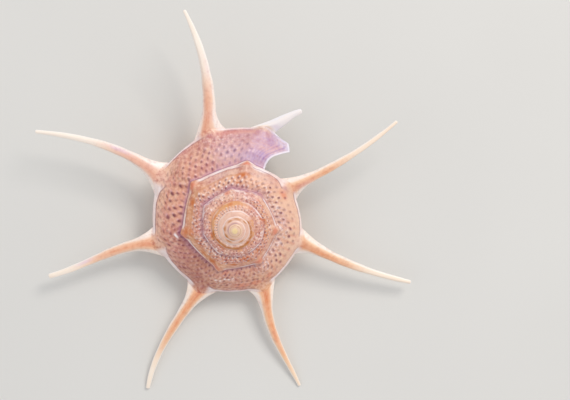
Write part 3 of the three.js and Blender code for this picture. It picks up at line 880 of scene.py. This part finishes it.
def fleck_masks(f, gold):
    """Where the fine flecks lie, which leave out the gold."""
    g, v = f["growth"], f["across"]
    _, last, second, third, fourth, older = whorl_zones(f)
    by_age = mix(0.4, 1.0, smooth(g, 0, 50)) * mix(1.0, 0.4, smooth(g, 215, 250))
    ungilded = 1.0 - 0.8 * np.clip(gold, 0.0, 1.0)
    blotchy = (f["spine"] > 1.0) * fade(f["along"], 0.4, 0.75)
    made = {}
    made["mottle"] = (last * (0.7 + 0.3 * bell(g, 175, 45)) * by_age + 0.2 * blotchy
                      + (0.6 * second + 0.65 * third + 0.4 * fourth + 0.15 * older) * ungilded)
    # pale net with white flecks, partly painted glints, and purple-pink flecks; on the lower last whorl the
    # white flecks stand for glints
    made["lace_and_glints"] = ((0.9 * third + 0.5 * fourth + 0.6 * second * fade(v, 0.36, 0.5)) * ungilded
                    + last * window(g, 205, 240, 340, 360) * fade(v, 0.25, 0.5)
                    + 0.5 * last * bell(g, 188, 25) * window(v, 0.05, 0.2, 0.5, 0.7)
                    + 0.6 * last * bell(g, 28, 14) * window(v, 0.4, 0.55, 0.8, 0.9))
    return made


def base_masks(f):
    """Colours of the underside, without the throat."""
    inward = f["inward"]
    under = 1.0 * (inward > 0.0) * (inward < IN_THROAT) * (f["spine"] == 0.0)
    return {"underside": under, "base_rows": under * f["bead"], "callus": under * smooth(inward, 0.84, 0.95)}


def masks(f):
    """Where each colour of the shell lies, from the fields of every point."""
    made = {**last_whorl_masks(f), **spire_masks(f), **bead_masks(f), **horn_masks(f), **base_masks(f)}
    made.update(edge_masks(f, made["knob"]))
    made.update(fleck_masks(f, made["gold"]))
    return made


# Colours laid in order, first broad tints, then the marks over them: each with its strength and how much
# blotches and streaks break it up
TINTS = [
    ("blush", ink(206, 116, 112), 0.85, 0.4, 0.2),
    ("cream", ink(250, 213, 188), 0.9, 0.35, 0.3),
    ("lilac", ink(182, 146, 190), 0.9, 0.4, 0.2),
    ("violet", ink(208, 188, 226), 0.85, 0.4, 0.2),
    ("tan", ink(224, 158, 114), 0.9, 0.25, 0.35),
    ("tan_lilac", ink(212, 188, 196), 0.8, 0.3, 0.2),
    ("cream_inside", ink(224, 156, 128), 0.9, 0.3, 0.2),
    ("rose_inside", ink(196, 112, 88), 0.8, 0.3, 0.2),
    ("pink", ink(206, 134, 130), 0.9, 0.3, 0.2),
    ("gold", ink(230, 162, 84), 0.8, 0.4, 0.3),
    ("ember", ink(206, 104, 40), 0.8, 0.3, 0.2),
    ("stripe", ink(208, 104, 84), 0.6, 0.4, 0.2),
    ("pearl", ink(237, 196, 176), 0.95, 0.2, 0.1),
    ("warm_tip", ink(238, 204, 172), 0.8, 0.2, 0.0),
    ("nucleus", ink(243, 214, 156), 0.95, 0.0, 0.0),
    ("horn", ink(251, 212, 174), 1.0, 0.0, 0.0),
    ("pink_spine", ink(244, 208, 206), 0.8, 0.3, 0.3),
    ("streak", ink(228, 122, 54), 0.9, 0.25, 0.4),
    ("blotch", ink(206, 110, 80), 0.7, 0.4, 0.3),
    ("tip", ink(255, 244, 230), 0.92, 0.1, 0.15),
    ("lilac_spine", ink(232, 206, 226), 0.9, 0.3, 0.1),
    ("edge", ink(255, 247, 240), 0.95, 0.1, 0.2),
    ("frost", ink(228, 228, 248), 0.9, 0.2, 0.25),
    ("underside", ink(236, 206, 178), 0.95, 0.35, 0.3),
]
MARKS = [
    # red-brown colour with painted shade on the lower left of the last whorl
    ("rose_and_shade", ink(146, 60, 58), 0.95, 0.35, 0.2),
    ("amber", ink(196, 128, 78), 0.7, 0.4, 0.3),
    ("tongue", ink(186, 110, 26), 1.0, 0.2, 0.1),
    ("striae", ink(140, 98, 168), 0.75, 0.4, 0.0),
    ("knob", ink(226, 128, 98), 0.9, 0.3, 0.1),
    ("mesh", ink(246, 194, 158), 0.5, 0.3, 0.0),
    # purple-pink band beside the sutures, partly painted shadow in the suture groove
    ("mauve_and_shade", ink(164, 104, 142), 0.72, 0.5, 0.2),
    # painted highlight on the beads
    ("sheen", ink(236, 190, 196), 0.7, 0.1, 0.0),
    ("patch", ink(204, 104, 34), 1.0, 0.35, 0.2),
    # bead spots: partly their own colour, partly painted shade on their suture side
    ("dark", ink(114, 46, 58), 0.95, 0.15, 0.0),
    # painted highlights: white glints, with some white rim colour from the dabs
    ("glint", ink(255, 242, 240), 1.0, 0.3, 0.0),
    ("flange", ink(252, 238, 236), 0.95, 0.2, 0.25),
    ("crease", ink(142, 88, 106), 0.85, 0.1, 0.0),
    # purple suture line, partly painted shade in the suture groove
    ("suture", ink(142, 88, 126), 0.65, 0.35, 0.0),
    ("lip", ink(248, 242, 250), 0.9, 0.1, 0.0),
    ("base_rows", ink(188, 124, 96), 0.6, 0.3, 0.0),
    ("callus", ink(244, 234, 226), 0.95, 0.1, 0.0),
]

# Fine flecks between tints and marks: how many fit in a metre, then the pale and the deep ones with their
# strengths
FLECKS = [
    ("mottle", 620.0, ink(247, 202, 178), 0.62, ink(178, 88, 82), 0.56),
    ("mottle", 1250.0, ink(247, 202, 178), 0.62, ink(178, 88, 82), 0.56),
    # pale net: the white flecks are partly painted glints, the purple-pink flecks are colour
    ("lace_and_glints", 1700.0, ink(254, 236, 236), 0.85, ink(164, 100, 124), 0.4),
]


# How many patches of each pattern fit in a metre, and how streaks and growth lines stretch along the coil
BLOTCH_SCALE = 330.0
GRAIN_SCALE = 1500.0
CLOUD_SCALE = 140.0
STREAK_STRETCH = (22.0, 16.0, 1.0)
LINE_STRETCH = (300.0, 3.0, 1.0)
NACRE_CLOUD_SCALE = 160.0
NACRE_STRETCH = (700.0, 260.0, 260.0)
BUMP_DEPTH = 0.0001

# Floor, sky, lights and the camera straight above, in metres
FLOOR_REACH = 1.5
SKY_COLOUR = (0.93, 0.96, 1.0, 1.0)
SKY_STRENGTH = 0.68
LIGHTS = [
    dict(name="key", place=(0.35, 0.40, 0.60), size=0.30, power=2.9, tint=(1.0, 0.97, 0.93)),
    dict(name="fill", place=(-0.5, -0.2, 0.6), size=0.6, power=0.6, tint=(0.95, 0.97, 1.0)),
]
CAMERA_PLACE = (0.01585, 0.00087, 0.420)
CAMERA_HALF_WIDTH = 0.07695
CAMERA_NEAR = 0.01


class Shader:
    """A small helper to add and link the nodes of one material."""

    def __init__(self, name):
        self.material = bpy.data.materials.new(name)
        self.material.use_nodes = True
        self.tree = self.material.node_tree
        self.surface = self.tree.nodes["Principled BSDF"]

    def feed(self, node, socket, value):
        if isinstance(value, bpy.types.NodeSocket):
            self.tree.links.new(value, node.inputs[socket])
        else:
            node.inputs[socket].default_value = value

    def add(self, kind, inputs=None, **settings):
        node = self.tree.nodes.new(kind)
        for key, value in settings.items():
            setattr(node, key, value)
        for socket, value in (inputs or {}).items():
            self.feed(node, socket, value)
        return node

    def attribute(self, name):
        return self.add("ShaderNodeAttribute", attribute_name=name)

    def math(self, operation, a, b):
        return self.add("ShaderNodeMath", {0: a, 1: b}, operation=operation).outputs[0]

    def ramp(self, factor, low, high, to_low, to_high):
        inputs = {"Value": factor, "From Min": low, "From Max": high, "To Min": to_low, "To Max": to_high}
        return self.add("ShaderNodeMapRange", inputs).outputs["Result"]

    def noise(self, vector, scale, detail, roughness):
        inputs = {"Vector": vector, "Scale": scale, "Detail": detail, "Roughness": roughness}
        return self.add("ShaderNodeTexNoise", inputs).outputs["Fac"]

    def stretched(self, vector, scale):
        return self.add("ShaderNodeVectorMath", {0: vector, 1: scale}, operation="MULTIPLY").outputs[0]

    def blend(self, factor, a, b):
        return self.add("ShaderNodeMix", {0: factor, 6: a, 7: b}, data_type="RGBA").outputs[2]

    def to_surface(self, socket, value):
        self.feed(self.surface, socket, value)

    def bump(self, height, strength, distance):
        inputs = {"Height": height, "Strength": strength, "Distance": distance}
        return self.add("ShaderNodeBump", inputs).outputs["Normal"]


def shell_material():
    shader = Shader("shell_outside")
    place = shader.add("ShaderNodeTexCoord").outputs["Object"]
    flow = shader.attribute("flow").outputs["Vector"]
    blotches = shader.noise(place, BLOTCH_SCALE, 4.0, 0.6)
    grain = shader.noise(place, GRAIN_SCALE, 3.0, 0.6)
    streaks = shader.noise(shader.stretched(flow, STREAK_STRETCH), 1.0, 3.0, 0.6)
    lines = shader.noise(shader.stretched(flow, LINE_STRETCH), 1.0, 2.0, 0.5)
    in_blotch = shader.ramp(blotches, 0.38, 0.62, 0.0, 1.0)
    in_streak = shader.ramp(streaks, 0.4, 0.6, 0.0, 1.0)

    ground = shader.blend(shader.ramp(blotches, 0.35, 0.65, 0.0, 1.0), ink(212, 150, 122), ink(228, 170, 142))
    colour = shader.blend(shader.ramp(lines, 0.45, 0.7, 0.0, 0.35), ground, ink(196, 124, 104))

    def lay(colour, layers):
        for name, tint, strength, by_blotch, by_streak in layers:
            share = shader.attribute(name).outputs["Fac"]
            kept_blotch = shader.ramp(in_blotch, 0.0, 1.0, strength, strength * (1.0 - by_blotch))
            kept_streak = shader.ramp(in_streak, 0.0, 1.0, 1.0, 1.0 - by_streak)
            share = shader.math("MULTIPLY", share, shader.math("MULTIPLY", kept_blotch, kept_streak))
            colour = shader.blend(share, colour, tint)
        return colour

    colour = lay(colour, TINTS)
    clouds = shader.noise(place, CLOUD_SCALE, 2.0, 0.5)
    mottled = shader.attribute("mottle").outputs["Fac"]
    rosy = shader.math("MULTIPLY", mottled, shader.ramp(clouds, 0.5, 0.7, 0.0, 0.4))
    sandy = shader.math("MULTIPLY", mottled, shader.ramp(clouds, 0.5, 0.3, 0.0, 0.4))
    colour = shader.blend(rosy, colour, ink(226, 160, 172))
    colour = shader.blend(sandy, colour, ink(244, 200, 150))
    for name, scale, pale, pale_share, deep, deep_share in FLECKS:
        share = shader.attribute(name).outputs["Fac"]
        flecks = shader.noise(place, scale, 2.0, 0.6)
        lit = shader.math("MULTIPLY", share, shader.ramp(flecks, 0.52, 0.66, 0.0, pale_share))
        shaded = shader.math("MULTIPLY", share, shader.ramp(flecks, 0.48, 0.34, 0.0, deep_share))
        colour = shader.blend(lit, colour, pale)
        colour = shader.blend(shaded, colour, deep)
    colour = lay(colour, MARKS)
    shader.to_surface("Base Color", colour)
    shader.to_surface("Roughness", shader.ramp(grain, 0.3, 0.7, 0.36, 0.52))
    shader.to_surface("Coat Weight", 0.22)
    shader.to_surface("Coat Roughness", 0.2)
    shader.to_surface("Specular IOR Level", 0.35)
    height = shader.math("ADD", shader.math("MULTIPLY", grain, 0.5), shader.math("MULTIPLY", lines, 0.7))
    shader.to_surface("Normal", shader.bump(height, 0.25, BUMP_DEPTH))
    return shader.material


def nacre_material():
    shader = Shader("shell_nacre")
    place = shader.add("ShaderNodeTexCoord").outputs["Object"]
    clouds = shader.noise(place, NACRE_CLOUD_SCALE, 3.0, 0.55)
    ripples = shader.noise(shader.stretched(place, NACRE_STRETCH), 1.0, 2.0, 0.5)
    colour = shader.blend(shader.ramp(clouds, 0.35, 0.65, 0.0, 1.0), ink(232, 214, 206), ink(206, 214, 216))
    colour = shader.blend(shader.ramp(ripples, 0.5, 0.75, 0.0, 0.6), colour, ink(236, 204, 214))
    shader.to_surface("Base Color", colour)
    shader.to_surface("Roughness", shader.ramp(ripples, 0.3, 0.7, 0.16, 0.30))
    shader.to_surface("Metallic", 0.25)
    shader.to_surface("Coat Weight", 0.4)
    shader.to_surface("Coat Roughness", 0.1)
    shader.to_surface("Normal", shader.bump(ripples, 0.15, BUMP_DEPTH))
    return shader.material


def make_shell():
    skin = build_skin()
    points = lay_down(np.concatenate(skin.points))
    fields = {name: np.concatenate(values) for name, values in skin.fields.items()}
    mesh = bpy.data.meshes.new("turban_shell")
    mesh.from_pydata(points.tolist(), [], skin.faces)
    mesh.polygons.foreach_set("material_index", skin.finish)
    mesh.polygons.foreach_set("use_smooth", [True] * len(mesh.polygons))
    for name, values in masks(fields).items():
        layer = mesh.attributes.new(name, "FLOAT", "POINT")
        layer.data.foreach_set("value", np.clip(values, 0.0, 1.0).astype(np.float32))
    on_spine = fields["spine"] > 0
    across = np.where(on_spine, fields["lateral"], fields["across"] + fields["inward"])
    along = np.where(on_spine, 0.3 * fields["along"] + fields["spine"], fields["growth"] / TURN)
    flow = mesh.attributes.new("flow", "FLOAT_VECTOR", "POINT")
    flow.data.foreach_set("vector", np.stack([along, across, 0 * across], axis=-1).astype(np.float32).ravel())
    mesh.validate()
    shell = bpy.data.objects.new("turban_shell", mesh)
    bpy.context.scene.collection.objects.link(shell)
    shell.data.materials.append(shell_material())
    shell.data.materials.append(nacre_material())
    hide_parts("shell")
    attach(shell, "root")
    return shell


def make_floor():
    shader = Shader("pale_floor")
    place = shader.add("ShaderNodeTexCoord").outputs["Object"]
    cloud = shader.noise(place, 9.0, 3.0, 0.5)
    shader.to_surface("Base Color", shader.blend(cloud, ink(214, 211, 206), ink(224, 221, 216)))
    shader.to_surface("Roughness", 0.75)
    mesh = bpy.data.meshes.new("floor")
    corners = [(x * FLOOR_REACH, y * FLOOR_REACH, 0) for x, y in ((-1, -1), (1, -1), (1, 1), (-1, 1))]
    mesh.from_pydata(corners, [], [(0, 1, 2, 3)])
    mesh.materials.append(shader.material)
    floor = bpy.data.objects.new("floor", mesh)
    bpy.context.scene.collection.objects.link(floor)


def make_light(name, place, size, power, tint):
    data = bpy.data.lights.new(name, "AREA")
    data.size = size
    data.energy = power
    data.color = tint
    light = bpy.data.objects.new(name, data)
    light.location = place
    aim = -np.array(place)
    light.rotation_euler = (math.atan2(math.hypot(aim[0], aim[1]), -aim[2]), 0.0, math.atan2(-aim[0], aim[1]))
    bpy.context.scene.collection.objects.link(light)


def make_stage():
    make_floor()
    world = bpy.data.worlds.new("sky")
    world.use_nodes = True
    world.node_tree.nodes["Background"].inputs["Color"].default_value = SKY_COLOUR
    world.node_tree.nodes["Background"].inputs["Strength"].default_value = SKY_STRENGTH
    bpy.context.scene.world = world
    for light in LIGHTS:
        make_light(**light)

    camera = bpy.data.objects.new("camera", bpy.data.cameras.new("camera"))
    camera.location = CAMERA_PLACE
    camera.data.sensor_fit = "HORIZONTAL"
    camera.data.angle = 2.0 * math.atan(CAMERA_HALF_WIDTH / CAMERA_PLACE[2])
    camera.data.clip_start = CAMERA_NEAR
    bpy.context.scene.collection.objects.link(camera)
    bpy.context.scene.camera = camera
    bpy.context.scene.view_settings.view_transform = "Standard"


make_shell()
make_stage()
